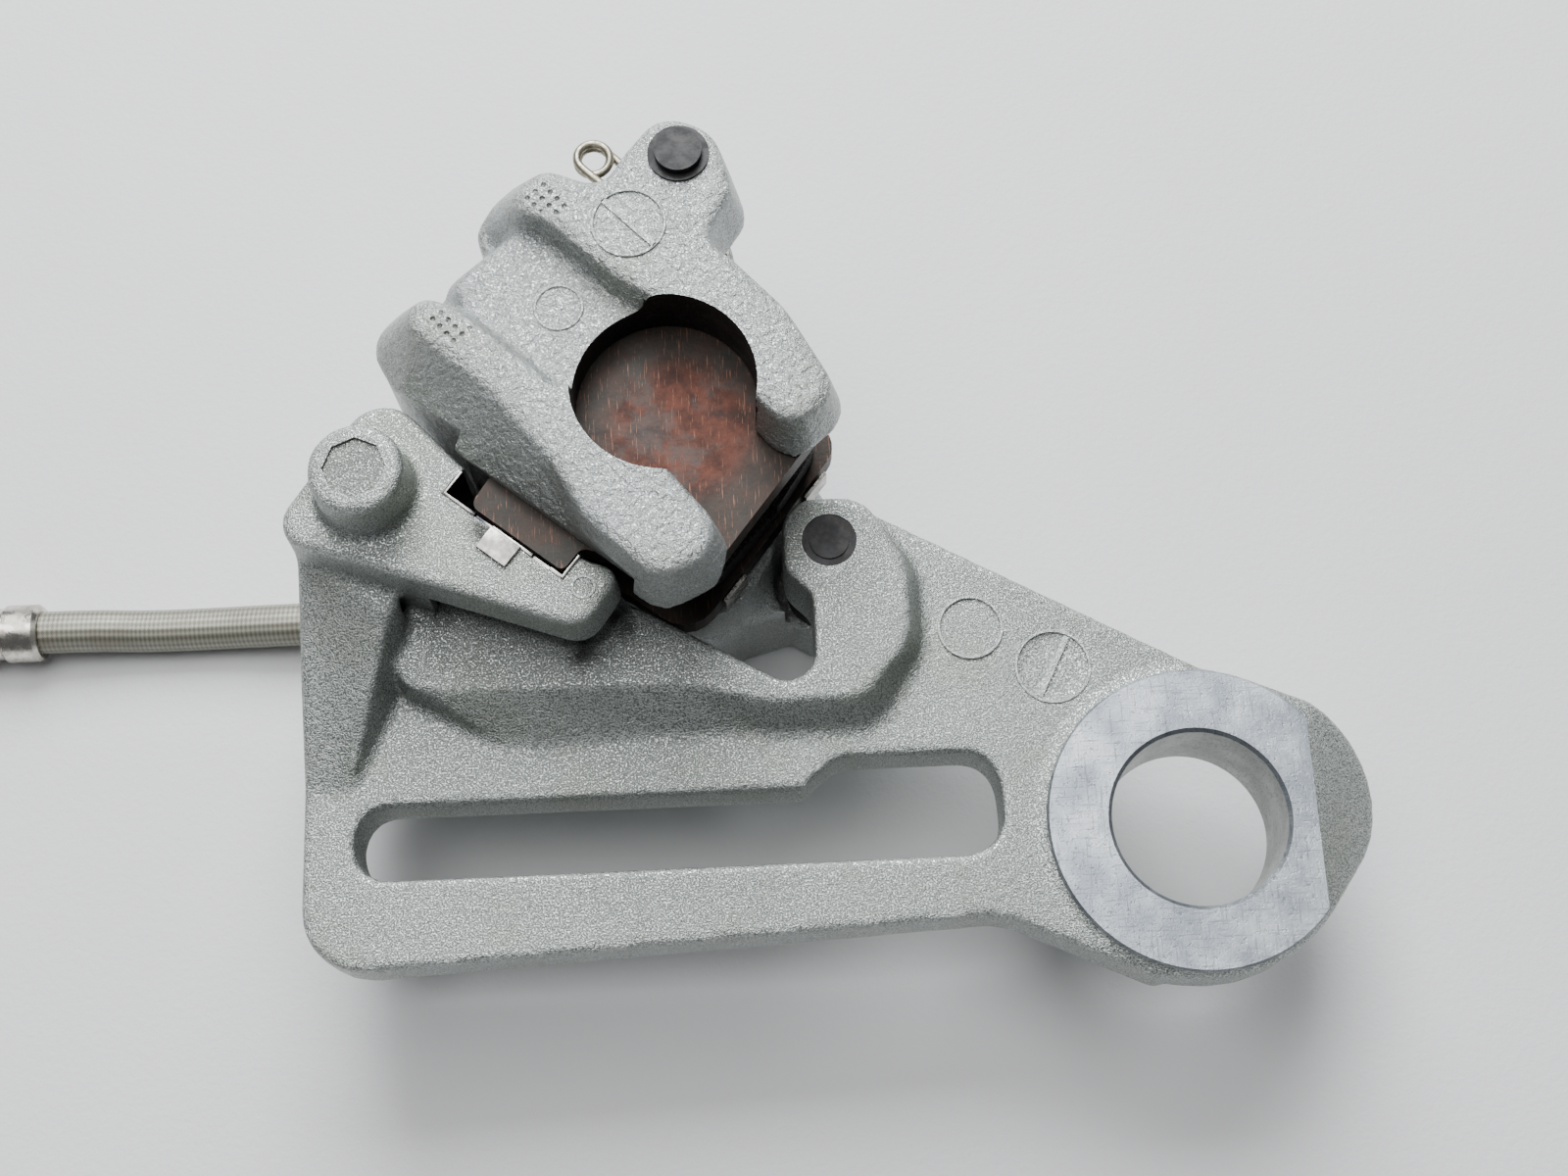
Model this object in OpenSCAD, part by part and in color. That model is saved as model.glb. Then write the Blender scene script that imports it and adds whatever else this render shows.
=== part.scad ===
// Rear disc-brake caliper of a motorcycle on its carrier bracket.
// A floating single-piston caliper, its pads, pins, boots and clips, and the crimped
// end of its braided hose. Millimetres. The origin is on the wheel-axle bore's axis at
// the bracket's wheel-side face; +Z points to the wheel, the torque slot lies towards -X
// and the caliper towards +Y. Back faces have negative Z.

/* [Layout] */
// Diameter of the brake disc that runs in the gap
disc_d = 220; // [205:1:240]
// Distance from the axle to the piston's axis
reach = 93.5; // [78:0.5:112]
// Direction of the piston's axis, seen from the wheel side
piston_angle = 141.3; // [139:0.1:144]
// Thickness of the brake disc
disc_t = 4; // [3:0.1:5]

/* [Carrier] */
// Thickness of the bracket's plate
plate_t = 10; // [8:0.5:12]
// Diameter of the wheel-axle bore
axle_bore_d = 25; // [20:0.5:30]
// Diameter of the machined ring round the axle bore
axle_ring_d = 43.4; // [41:0.2:50]
// Length of the axle bore
axle_bore_l = 15.7; // [14:0.1:19]
// Height of the raised shoulder over the torque slot
shoulder_h = 5; // [4:0.1:5.4]
// Height of the wheel-side arm above the plate's face
arm_top = 19; // [17:0.5:22]
// Width of the long, narrow part of the torque slot
slot_w = 10.6; // [9:0.1:13]
// Height of the blind boss above the arm
boss_h = 9; // [7:0.5:11]

/* [Caliper] */
// Diameter of the piston
piston_d = 26; // [22:0.5:31]
// Wall of the cylinder round the piston's bore
cylinder_wall = 5.5; // [4:0.1:7]
// Depth of the cylinder block behind its front face
cylinder_h = 28.1; // [25:0.1:32]
// Thickness of the two fingers
finger_t = 10.5; // [8.5:0.1:12.5]
// Width of the opening between the finger tips
mouth_w = 14; // [11:0.5:17]

/* [Pads] */
// Thickness of a pad's backing plate
back_t = 4; // [3.5:0.1:5]
// Thickness of a pad's friction lining
lining_t = 4; // [3:0.1:4.6]
// Thickness of the shim on the piston-side pad
shim_t = 0.6; // [0.5:0.05:0.7]

/* [Pins and clips] */
// Diameter of both guide pins
guide_pin_d = 8; // [6.5:0.1:9.6]
// Diameter of the pad pin
pad_pin_d = 6.8; // [5.6:0.1:8.2]
// Thickness of the abutment clip's sheet
clip_t = 0.5; // [0.4:0.05:0.6]
// Wire diameter of the pad pin's clip
wire_d = 1.5; // [1.2:0.1:1.8]

/* [Hose] */
// Outer diameter of the braided hose
hose_d = 6.8; // [5.6:0.1:8.2]
// Outer diameter of the crimped ferrules
ferrule_d = 9.2; // [9:0.1:10]
// Length of a crimped ferrule
ferrule_l = 20; // [16:1:24]

/* [Hidden] */

$fn = 64;
eps = 0.02;
arc_steps = 5;   // straight pieces in a rounded corner
shortest_arc = 0.6;
fit = 0.05;      // radial clearance of a running fit
gap = 0.5;       // side clearance between pieces that slide past each other
swing = 4;       // how far the caliper floats inwards as the pads wear
lift = 1;        // how far the caliper floats towards the wheel

// Layout
P = reach * [cos(piston_angle), sin(piston_angle)];
finger_turn = piston_angle - 101.3;   // the fingers lean away from the radial line
pad_turn = piston_angle - 90;         // the pads stand square to the radial line
disc_mid = 8;
pocket_r = disc_d / 2 + 3;
bridge_r = disc_d / 2 + 2.5;
gap_lo = shoulder_h;
gap_hi = disc_mid + disc_t / 2 + 1.5;
slack = 0.3;                          // disc to lining

// Heights of the pads and the caliper
wheel_lining_z = disc_mid + disc_t / 2 + slack;
wheel_plate_z = wheel_lining_z + lining_t;
finger_z = wheel_plate_z + back_t + 0.1;
finger_top = finger_z + finger_t;
web_top = finger_z + 0.56 * finger_t;
piston_lining_z = disc_mid - disc_t / 2 - slack - lining_t;
piston_plate_z = piston_lining_z - back_t;
shim_z = piston_plate_z - shim_t;
front_z = shim_z - 0.4;               // front face of the cylinder block
back_z = front_z - cylinder_h;
under_z = -plate_t - lift - gap;      // highest the caliper may reach behind the carrier

// Axle boss
ring_z = 1.3;
ring_r = axle_ring_d / 2;
boss_back = ring_z - axle_bore_l;
nose_x = 0.75 * ring_r;
left_x = P.x - 54.4;

// Pins
pin_r = guide_pin_d / 2;
hook_at = P + [22.4, -15.9];
boss_at = P + [-42.4, -10.6];
hook_r = pin_r + 2.9;
boss_r = pin_r + 3.7;
boss_top = arm_top + boss_h;
boot_front = -2;                      // where the left boot meets the carrier
ear_top = under_z;
ear_t = 6.5;
ear_r = pin_r + 4;
boot_wall = 1.1;
right_boss_top = under_z - 7.5;
right_boss_r = pin_r + 3.8;

// Channel for the pads' ears, in the pads' frame
ear_x = -27.8;
ear_lo = -2.9;
ear_hi = 13.6;
channel_x = ear_x - 0.6 - clip_t;
channel_lo = ear_lo - 0.5 - clip_t;
channel_hi = 17.2 + clip_t;
arm_edge_x = -24.5;

// Piston and its bore
piston_r = piston_d / 2;
bore_r = piston_r + fit;
cylinder_r = piston_r + cylinder_wall;
bore_floor = back_z + 4.5;
seal_z = front_z - 12;
dust_z = front_z - 4.2;

// Pad pin, in the fingers' frame
pad_pin_at = [24.7, 24.7];
pad_pin_r = pad_pin_d / 2;
pin_collar_r = pad_pin_r + 1;
pin_boss_r = pad_pin_r + 3.9;
clip_z = disc_mid + 1.2;
clip_lean = 4;

// Bleed screw, in the fingers' frame, pointing along +Y
bleed_x = -5;
bleed_z = back_z + 8.5;
bleed_y = cylinder_r + 4.5;

// Hose end: banjo bolt along -Y
banjo_x = P.x - 21.5;
banjo_y = P.y - 9.6;                  // face of the port
banjo_z = back_z + 10.5;
eye_r = 7.6;
eye_t = 9;
washer_t = 1.2;
bolt_r = 5;
spot_r = eye_r + 1;
hose_y = banjo_y - washer_t - eye_t / 2;
hose_z = back_z + ferrule_d / 2;
near_x = P.x - 38.5;                    // where the near ferrule starts
exit_x = near_x - ferrule_l;
far_x = P.x - 103;                    // where the far ferrule starts
hose_r = hose_d / 2;
lay_z = back_z + hose_r + 0.1;

// The hose's own route, from the near ferrule to the far one
HOSE = [[exit_x, hose_y, hose_z], [exit_x - 5, hose_y, hose_z - 0.1],
    [exit_x - 10, hose_y + 0.1, hose_z - 0.5], [exit_x - 15, hose_y + 0.2, lay_z + 0.1],
    [exit_x - 20, hose_y + 0.2, lay_z], [exit_x - 25, hose_y + 0.2, lay_z],
    [exit_x - 30, hose_y + 0.3, lay_z + 0.1], [exit_x - 35, hose_y + 0.4, hose_z - 0.5],
    [exit_x - 40, hose_y + 0.4, hose_z - 0.1], [far_x, hose_y + 0.4, hose_z]];

// ---------------------------------------------------------------- helpers

function flat(c) = [c[0], c[1]];
// The arc that rounds corner b between its neighbours a and c
function corner(a, b, c) =
    let (u = flat(a) - flat(b), v = flat(c) - flat(b), lu = norm(u), lv = norm(v),
         turn = acos(max(-1, min(1, u * v / (lu * lv)))),
         t = min(max(shortest_arc, b[2] / tan(turn / 2)), 0.46 * min(lu, lv)),
         rr = t * tan(turn / 2),
         m = u / lu + v / lv,
         o = flat(b) + m / norm(m) * rr / sin(turn / 2),
         p = flat(b) + u / lu * t - o,
         side = u.x * v.y - u.y * v.x > 0 ? -1 : 1,
         sweep = side * (180 - turn))
    [for (i = [0:arc_steps]) let (q = sweep * i / arc_steps)
        o + [p.x * cos(q) - p.y * sin(q), p.x * sin(q) + p.y * cos(q)]];
// A polygon's points, each corner [x, y, r] rounded and each [x, y] left sharp
function outline(c) = let (k = len(c))
    [for (i = [0:k - 1]) each (is_undef(c[i][2]) ? [flat(c[i])]
        : corner(c[(i + k - 1) % k], c[i], c[(i + 1) % k]))];

// A stepped flank: a foot outline up to half its height, then a smaller one up to the top
module stepped(foot, lo, top, hi) {
    mid = (lo + hi) / 2;
    slab(foot, lo, mid);
    slab(top, mid - eps, hi);
}

module slab(c, lo, hi) {
    translate([0, 0, lo]) linear_extrude(hi - lo) polygon(outline(c));
}

// A round tube along points, with flat ends
function unit(v) = v / norm(v);
function heading(path, i) = unit(path[min(i + 1, len(path) - 1)] - path[max(i - 1, 0)]);
module tube(path, r, sides = 12, up = [0, 0, 1]) {
    k = len(path);
    polyhedron(
        points = [for (i = [0:k - 1])
            let (d = heading(path, i), s = unit(cross(d, up)), w = cross(d, s))
            for (j = [0:sides - 1]) let (q = 360 * j / sides) path[i] + r * (cos(q) * s + sin(q) * w)],
        faces = [[for (j = [0:sides - 1]) j], [for (j = [sides - 1:-1:0]) (k - 1) * sides + j],
            for (i = [0:k - 2]) for (j = [0:sides - 1]) let (m = (j + 1) % sides)
                each [[i * sides + j, (i + 1) * sides + j, i * sides + m],
                      [i * sides + m, (i + 1) * sides + j, (i + 1) * sides + m]]],
        convexity = 6);
}

module ring(r_out, r_in, lo, hi) {
    difference() {
        translate([0, 0, lo]) cylinder(r = r_out, h = hi - lo);
        translate([0, 0, lo - 1]) cylinder(r = r_in, h = hi - lo + 2);
    }
}
module rod(r, lo, hi) { translate([0, 0, lo]) cylinder(r = r, h = hi - lo); }
module hexagon(across, lo, hi) {
    translate([0, 0, lo]) cylinder(r = across / sqrt(3), h = hi - lo, $fn = 6);
}
module at(p) { translate([p.x, p.y, 0]) children(); }
module fingers_frame() { at(P) rotate(finger_turn) children(); }
module pads_frame() { at(P) rotate(pad_turn) children(); }
// Lays +Z along -Y at the banjo's place
module banjo_frame() {
    translate([banjo_x, banjo_y, banjo_z]) rotate([90, 0, 0]) children();
}
// Lays +Z along the fingers' +Y at the bleed screw's place
module bleed_frame() {
    fingers_frame() translate([bleed_x, 0, bleed_z]) rotate([-90, 0, 0]) children();
}
function by_caliper(dx, dy, r = 0) = [P.x + dx, P.y + dy, r];

// ---------------------------------------------------------------- carrier

module carrier_bracket() {
    // concave edge between the arm and the hook, shared by plate and shoulder
    throat = [by_caliper(19.6, -39.6, 7.2), by_caliper(19.6, -24.2, 2.5), by_caliper(15.5, -20.2, 4),
        by_caliper(15.5, -9, 6.9)];
    plate = concat([[left_x, -17, 9], [-28.5, -12.4, 12], [-7, -22.4, 1], [6, -12], [6, 20.4],
        by_caliper(27, -8.9, 8)], [for (i = [3:-1:0]) throat[i]],
        [by_caliper(-6, -24.6, 2), by_caliper(-22, -22.4, 1), by_caliper(-39, -18.4, 1),
        [left_x, P.y - 16.4, 2]]);
    shoulder_foot = concat([by_caliper(28.2, -9.6, 6), by_caliper(35.8, -19.9, 10),
        by_caliper(35.8, -32.4, 8), by_caliper(28.5, -44.2, 6), by_caliper(13, -44.4, 8),
        by_caliper(-1, -44.4, 10), by_caliper(-22, -45.9, 8), by_caliper(-41, -35.9, 4),
        by_caliper(-39, -20.4, 2), by_caliper(-22, -24.4, 2), by_caliper(-6, -24.6, 1.5)], throat);
    shoulder_top = concat([by_caliper(27.6, -9.2, 6), by_caliper(33.4, -19.9, 10),
        by_caliper(33.4, -31.2, 8), by_caliper(26.2, -39.6, 6), by_caliper(13, -39.6, 8),
        by_caliper(0, -36.6, 10), by_caliper(-22, -36.4, 8), by_caliper(-39, -34.4, 4),
        by_caliper(-39, -20.4, 2), by_caliper(-22, -24.4, 2), by_caliper(-6, -24.6, 1.5)], throat);
    arm = [by_caliper(-28.8, -7.3, 1), by_caliper(-41, 6.5, 5.8), by_caliper(-57.2, -16.7, 4),
        by_caliper(-11.9, -32.7, 4), by_caliper(-6.2, -23.9, 2), by_caliper(-11.9, -21.5, 1)];
    slot_y = 1.5;
    slot_left = left_x + 7.4;
    slot_step = -54.8;
    slot_right = -ring_r - 5.9;
    slot_top = slot_y + slot_w / 2;
    slot = [[slot_left, slot_top, 4.6], [slot_step - 0.8, slot_top], [slot_step, slot_top + 1.4, 1],
        [slot_step + 4.2, slot_top + 4.5, 3], [slot_right - 0.6, slot_top + 4.5, 5],
        [slot_right + 0.4, slot_y - slot_w / 2 + 0.4, 5.5], [slot_left, slot_y - slot_w / 2, 4.9]];
    color("silver") difference() {
        union() {
            slab(plate, -plate_t, 0);
            stepped(shoulder_foot, -1, shoulder_top, shoulder_h);
            slab(arm, -plate_t, arm_top);
            // gusset that slopes from the plate up to the arm
            hull() {
                slab([[left_x, 6.4], [left_x + 5, 6.4], [left_x + 13, P.y - 36], [left_x + 16, P.y - 28],
                    [left_x, P.y - 16.4]], -1, 0);
                slab([[left_x, P.y - 15.4], [left_x + 15.5, P.y - 27.6], [left_x + 14, P.y - 22]],
                    arm_top - 8.5, arm_top - 7.5);
            }
            // blind boss that closes the left guide bore
            at(boss_at) rotate_extrude() polygon(outline([[0, -plate_t], [boss_r, -plate_t],
                [boss_r, arm_top + 1], [boss_r - 1.4, boss_top, 2], [0, boss_top]]));
            // bored boss of the wheel axle, and the nose beyond it
            rod(ring_r, boss_back, ring_z);
            hull() {
                rod(ring_r + 0.8, -plate_t, -0.4, $fn = 32);
                translate([12, 3, 0]) rod(15, -plate_t, -0.4, $fn = 32);
            }
        }
        // disc's slot between the two arms
        rod(pocket_r, gap_lo, gap_hi, $fn = 128);
        // channel for the pads' ears
        pads_frame() translate([channel_x, channel_lo, -plate_t - 1])
            cube([20, channel_hi - channel_lo, arm_top + plate_t + 2]);
        // torque slot
        slab(slot, -plate_t - 1, 1);
        // axle bore with its two chamfers
        rod(axle_bore_d / 2, boss_back - 1, ring_z + 1, $fn = 96);
        translate([0, 0, ring_z - 0.5])
            cylinder(r1 = axle_bore_d / 2, r2 = axle_bore_d / 2 + 0.55, h = 0.55);
        // facet that thins the nose
        translate([nose_x, -40, ring_z - 0.4]) rotate([0, 36, 0]) cube([30, 80, 20]);
        // bores of the two guide pins
        at(boss_at) rod(pin_r + fit, -plate_t - 1, boss_top - 4);
        at(boss_at) rod(ear_r + 1.5, -plate_t - 1, boot_front);
        at(hook_at) rod(pin_r, -plate_t - 1, shoulder_h + 1);
        // recessed date disc
        translate([-18.9, 23.4, -0.4]) cylinder(r = 5.3, h = 1);
    }
}

module carrier_guide_pin() {
    color("#26262a") at(hook_at) union() {
        rod(pin_r, right_boss_top - 8.5, shoulder_h - 0.1);
        rod(pin_r - 1.1, shoulder_h - 0.2, shoulder_h + 0.2);
    }
}

module pad_abutment_clip() {
    leg_x = arm_edge_x - 0.2;
    w = channel_hi - channel_lo;
    color("gainsboro") pads_frame() difference() {
        union() {
            translate([channel_x, channel_lo, -plate_t + 0.4])
                cube([leg_x - channel_x, w, arm_top + plate_t - 0.2]);
            // tab hooked over the arm
            translate([channel_x - 3.4, 3.6, arm_top]) cube([3.6, 5.2, clip_t]);
        }
        translate([channel_x + clip_t, channel_lo + clip_t, -plate_t])
            cube([20, w - 2 * clip_t, arm_top + plate_t + 2]);
        // open where the disc runs
        translate([0, -reach, gap_lo - 0.4]) cylinder(r = pocket_r, h = gap_hi - gap_lo + 0.8, $fn = 128);
        // wheel-side edge stands proud of the arm only at the tab and the corners
        translate([channel_x - 1, channel_lo + 2.5, arm_top - 0.4]) cube([1 + clip_t + 0.1, 3, 2]);
        translate([channel_x - 1, 8.8, arm_top - 0.4]) cube([1 + clip_t + 0.1, 3, 2]);
    }
}

// ---------------------------------------------------------------- caliper

module caliper_body() {
    right_foot = [[6.6, -9, 1], [6.6, -18.6, 3], [18.6, -18.8, 5], [21.6, -3, 14], [21.4, 8, 6],
        [20.3, 11.6, 3], [28.2, 13.6, 4], [32.6, 24, 7], [28.5, 33.2, 6], [18.5, 31.8, 4],
        [12.6, 30.6, 3], [9.2, 42, 4], [-2.8, 41.5, 5], [1.2, 30, 5], [3, 15, 4], [6, 5, 1]];
    right_top = [[7.2, -9, 1], [7.6, -17.6, 3], [17.2, -17.6, 4], [20.2, -3, 12], [19.8, 7.5, 6],
        [18.9, 12.4, 3], [26.8, 15, 3], [31.4, 24.4, 6], [27.4, 32, 5], [19.9, 30.9, 3],
        [13.4, 28.8, 3], [9.5, 36, 3], [0.6, 35.5, 3], [3.9, 29, 4], [5, 17, 4], [8, 6, 1]];
    left_foot = [[-6.9, -9, 1], [-6.6, -21.5, 3.5], [-12.5, -25, 4], [-21.4, -22.6, 5],
        [-22.6, -8, 10], [-26, 5, 10], [-27.6, 26, 6], [-25.5, 37, 5], [-15.2, 37.4, 5],
        [-10.5, 28, 5], [-9.3, 10, 3], [-6, 6, 1]];
    left_top = [[-7.4, -9, 1], [-8, -20.8, 3], [-13, -23.4, 3.5], [-19.9, -21.2, 4],
        [-21.3, -8, 10], [-19, 4, 10], [-18.6, 17, 8], [-20.5, 29, 3], [-16.2, 31, 3],
        [-14, 27.5, 3], [-10.8, 9.5, 4], [-7, 7, 1]];
    bridge = [[-26.9, 14, 3], [-27, 27.5, 6], [-25, 36.5, 5], [-15.4, 36.8, 5], [-12, 33, 3],
        [-4, 35, 3], [-2.3, 41, 5], [8.8, 41.4, 4], [12, 30.2, 3], [13.5, 12, 3]];
    hook = [(hook_at - P) * [cos(finger_turn), sin(finger_turn)],
        (hook_at - P) * [-sin(finger_turn), cos(finger_turn)]];
    lobe = [[-15, 0], [-15.5, -21, 4], [-7, -23.5, 4], [6, -19.5, 6], [14, -8]];
    foot = [[-17, 0], [-16.5, -23, 5], [-8, -23.6, 3], [hook.x - right_boss_r * 0.8, hook.y - 1, 2],
        [hook.x + right_boss_r * 0.8, hook.y - 1, 2], [17.5, -6]];
    ear = [[boss_at.x - P.x - 3, boss_at.y - P.y + 4], [boss_at.x - P.x + 4, boss_at.y - P.y + 7],
        [-15, 14], [-11, -8.4], [-26.5, -8.4, 2], [boss_at.x - P.x + 6, boss_at.y - P.y - 2.2]];
    color("lightgray") difference() {
        union() {
            fingers_frame() {
                stepped(right_foot, finger_z, right_top, finger_top);
                stepped(left_foot, finger_z, left_top, finger_top);
                slab([[-13, 5], [7, 5], [4, 35, 3], [-13, 35, 3]], finger_z, web_top);
                slab(bridge, front_z - 11, finger_z + 0.5);
                rod(cylinder_r, back_z, front_z + 1);
                slab(lobe, under_z - 2, front_z + 1);
                slab(foot, back_z, under_z - 1);
                // cylinder-side boss of the pad pin
                at(pad_pin_at) rod(pin_boss_r - 0.4, front_z - 15, front_z);
                slab([[8, 10], [20, 14, 2], [30, 19, 2], [28, 31, 2], [9, 34]],
                    front_z - 14, front_z - 0.5);
            }
            // seat of the bleed screw
            bleed_frame() rod(6.5, 8, bleed_y);
            at(hook_at) rod(right_boss_r, back_z, right_boss_top + 1);
            at(boss_at) rod(ear_r, ear_top - ear_t, ear_top + 1);
            at(P) slab(ear, ear_top - ear_t, ear_top + 1);
            banjo_frame() rod(spot_r - 0.2, -12, 0.5);
        }
        fingers_frame() {
            // window over the piston and the mouth between the fingers
            rod(piston_r, finger_z - 1, finger_top + 1);
            translate([-mouth_w / 2, -30, finger_z - 1]) cube([mouth_w, 30, finger_t + 2]);
            at(pad_pin_at) rod(pad_pin_r, front_z - 20, finger_top + 1);
            at(pad_pin_at) rod(pin_collar_r, finger_top - 5, finger_top + 1);
            // bore for the piston, with the grooves of its two seals
            rod(bore_r, bore_floor, front_z + 1);
            rod(bore_r + 2.6, seal_z, seal_z + 2.8);
            rod(bore_r + 2, dust_z, dust_z + 2.2);
            // clearance for the hook over the foot
            translate([hook.x, hook.y, right_boss_top]) cylinder(r = hook_r + 1.4, h = 60);
        }
        // space for the disc and the pads
        rod(bridge_r, front_z, finger_z - 0.05, $fn = 128);
        // relief past the carrier's arms
        pads_frame() {
            translate([-70, -13, under_z]) cube([70 - 22.9, 33.5, arm_top + swing + gap - under_z]);
            translate([-70, 20, under_z]) cube([70 - 20.6, 30, arm_top + swing + gap - under_z]);
        }
        at(hook_at) rod(pin_r + fit, back_z + 1.6, right_boss_top + 1);
        at(boss_at) rod(pin_r, ear_top - ear_t - 1, ear_top + 1);
        // port of the hose, spot-faced for its washers
        banjo_frame() rod(bolt_r, -10, 1);
        banjo_frame() rod(spot_r, 0, 14);
        bleed_frame() rod(3 + fit, 12, bleed_y + 1);
    }
}

module caliper_guide_pin() {
    color("#2b2b30") at(boss_at) union() {
        rod(pin_r, ear_top - ear_t, boss_top - 9.5);
        hexagon(guide_pin_d + 2, ear_top - ear_t - 3.4, ear_top - ear_t);
    }
}

// Bellows between two faces, with a lip at each end
module boot(inner, lo, hi) {
    folds = 3;
    pitch = (hi - lo - 2) / folds;
    outer = inner + boot_wall;
    rotate_extrude() polygon(concat(
        [[inner, lo], [outer + 0.9, lo], [outer + 0.9, lo + 1]],
        [for (i = [0:folds - 1]) each [[outer, lo + 1 + pitch * (i + 0.15)],
            [outer + 1.1, lo + 1 + pitch * (i + 0.5)], [outer, lo + 1 + pitch * (i + 0.85)]]],
        [[outer + 0.9, hi - 1], [outer + 0.9, hi], [inner, hi]]));
}
module guide_boot_left() {
    color("#1c1c1e") at(boss_at) boot(pin_r + 0.4, ear_top, boot_front);
}
module guide_boot_right() {
    color("#1c1c1e") at(hook_at) boot(pin_r + 0.4, right_boss_top, -plate_t);
}

module piston() {
    crown = shim_z - 0.1;
    color("slategray") at(P) difference() {
        rod(piston_r, bore_floor + 2.2, crown);
        rod(piston_r - 3.2, bore_floor + 6, crown + 1);
        translate([0, 0, crown - 0.6]) cylinder(r1 = piston_r - 3.2, r2 = piston_r - 2.4, h = 0.8);
    }
}
module piston_seal() {
    color("#202022") at(P) ring(bore_r + 2.6, piston_r + 0.02, seal_z, seal_z + 2.8);
}
module dust_seal() {
    color("#202022") at(P) ring(bore_r + 2, piston_r + 0.02, dust_z, dust_z + 2.2);
}

// Backing plate: an ear for the channel at one end, an eye for the pad pin at the other
function pin_in_pads() = let (q = finger_turn - pad_turn)
    [pad_pin_at.x * cos(q) - pad_pin_at.y * sin(q), pad_pin_at.x * sin(q) + pad_pin_at.y * cos(q)];
pad_lug = pin_in_pads();
pad_lug_r = pad_pin_r + 3;
PAD_PLATE = [[ear_x, ear_lo, 1], [-23.6, ear_lo, 1.5], [-21.6, -8, 4], [-21.6, -19.6, 6],
    [15.5, -19.2, 4], [18.5, -8, 6], [20, 6, 6], [pad_lug.x + 2, pad_lug.y - pad_lug_r, 3],
    [pad_lug.x + 5.4, pad_lug.y + 3.5, 4], [pad_lug.x - 5, pad_lug.y + 5, 3],
    [18, 15.2, 5], [0, 16, 8], [-18, 14.4, 5], [ear_x, ear_hi, 1.5]];
LINING = [[-19.6, -15, 4], [-12, -18, 5], [0, -18.6, 8], [13, -17.4, 4], [18, 2, 5], [17, 13.6, 4],
    [0, 15.2, 10], [-17, 13, 4]];
module pad_plate(lo, hi) {
    pads_frame() difference() {
        slab(PAD_PLATE, lo, hi);
        at(pad_lug) rod(pad_pin_r + 0.25, lo - 1, hi + 1);
    }
}
module wheel_pad_plate() { color("#7a5244") pad_plate(wheel_plate_z, wheel_plate_z + back_t); }
module piston_pad_plate() { color("#6e4c40") pad_plate(piston_plate_z, piston_plate_z + back_t); }
module lining(lo, hi) {
    pads_frame() difference() {
        slab(LINING, lo, hi);
        // wear groove across the face
        translate([-1, -30, lo > disc_mid ? lo - 1 : hi - 1.5]) cube([2, 60, 2.5]);
    }
}
module wheel_pad_lining() { color("#232325") lining(wheel_lining_z, wheel_plate_z); }
module piston_pad_lining() { color("#232325") lining(piston_lining_z, piston_lining_z + lining_t); }
module piston_pad_shim() {
    color("silver") pads_frame() union() {
        slab([[-19, -16, 3], [14, -18, 3], [17, -2, 3], [17, 12, 3], [0, 13, 3], [-17, 11, 3]],
            shim_z, piston_plate_z);
        // tabs folded over the plate's inner edge
        for (x = [-14, 6]) translate([x, -20.2, shim_z]) cube([5, 0.5, back_t + shim_t - 0.5]);
        for (x = [-14, 6]) translate([x, -20.2, shim_z]) cube([5, 5, shim_t]);
    }
}

module pad_pin() {
    color("#2a2a2d") fingers_frame() at(pad_pin_at) difference() {
        union() {
            rod(pad_pin_r, front_z - 16, finger_top + 1.6);
            rod(pin_collar_r, finger_top - 5, finger_top + 0.4);
        }
        translate([0, 0, clip_z]) rotate(clip_lean) rotate([-90, 0, 0]) rod(wire_d / 2, -10, 10);
    }
}
// Spring clip: a straight leg through the pin and a sprung arm round it
module pad_pin_clip() {
    r = wire_d / 2;
    eye = 2.6;
    leg = 17;
    side = pad_pin_r + r + 0.3;
    rise = 1.1 * wire_d;              // the eye's turn and a half climbs over itself
    coil = [for (q = [180:-30:-360])
        [eye + eye * cos(q), leg + eye * sin(q), rise * (180 - q) / 540]];
    arm = [[4.9, 12, 2.1 * r], [side, 6, 1.8 * r], [side + 0.2, 3, 1.6 * r], [side + 0.1, 0, 1.4 * r],
        [side - 0.8, -3.4, r], [side + 0.5, -5.8, r]];
    color("#8d8878") fingers_frame() at(pad_pin_at)
        translate([0, 0, clip_z]) rotate(clip_lean) mirror([1, 0, 0])
        tube(concat([[0, -5.2, 0], [0, 0, 0], [0, 6, 0], [0, leg - 4, 0]], coil, arm), r, 8);
}
module pad_spring() {
    color("lightgray") difference() {
        ring(bridge_r - 0.4, bridge_r - 0.9, front_z + 1.4, finger_z - 1.4, $fn = 128);
        rotate(pad_turn) {
            translate([-200, -200, -50]) cube([400, 200, 100]);
            translate([9, 0, -50]) cube([200, 200, 100]);
            translate([-209, 0, -50]) cube([200, 200, 100]);
        }
    }
}

module bleed_screw() {
    color("#b9b7ae") bleed_frame() difference() {
        union() {
            rod(3, 13, bleed_y + 1);
            hexagon(8, bleed_y + 1, bleed_y + 6);
            rod(2.6, bleed_y + 6, bleed_y + 13);
            translate([0, 0, bleed_y + 9.5]) cylinder(r1 = 3.1, r2 = 2.6, h = 2);
        }
        rod(1, 20, bleed_y + 14);
    }
}
module bleed_cap() {
    color("#1c1c1e") bleed_frame() difference() {
        rotate_extrude() polygon(outline([[0, bleed_y + 6.4], [4.6, bleed_y + 6.4], [4.6, bleed_y + 8, 0.5],
            [4.1, bleed_y + 8.6], [4, bleed_y + 14.6, 1], [0, bleed_y + 14.6]]));
        rod(3.2, bleed_y + 6, bleed_y + 13.3);
    }
}

// ---------------------------------------------------------------- hose end

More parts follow.
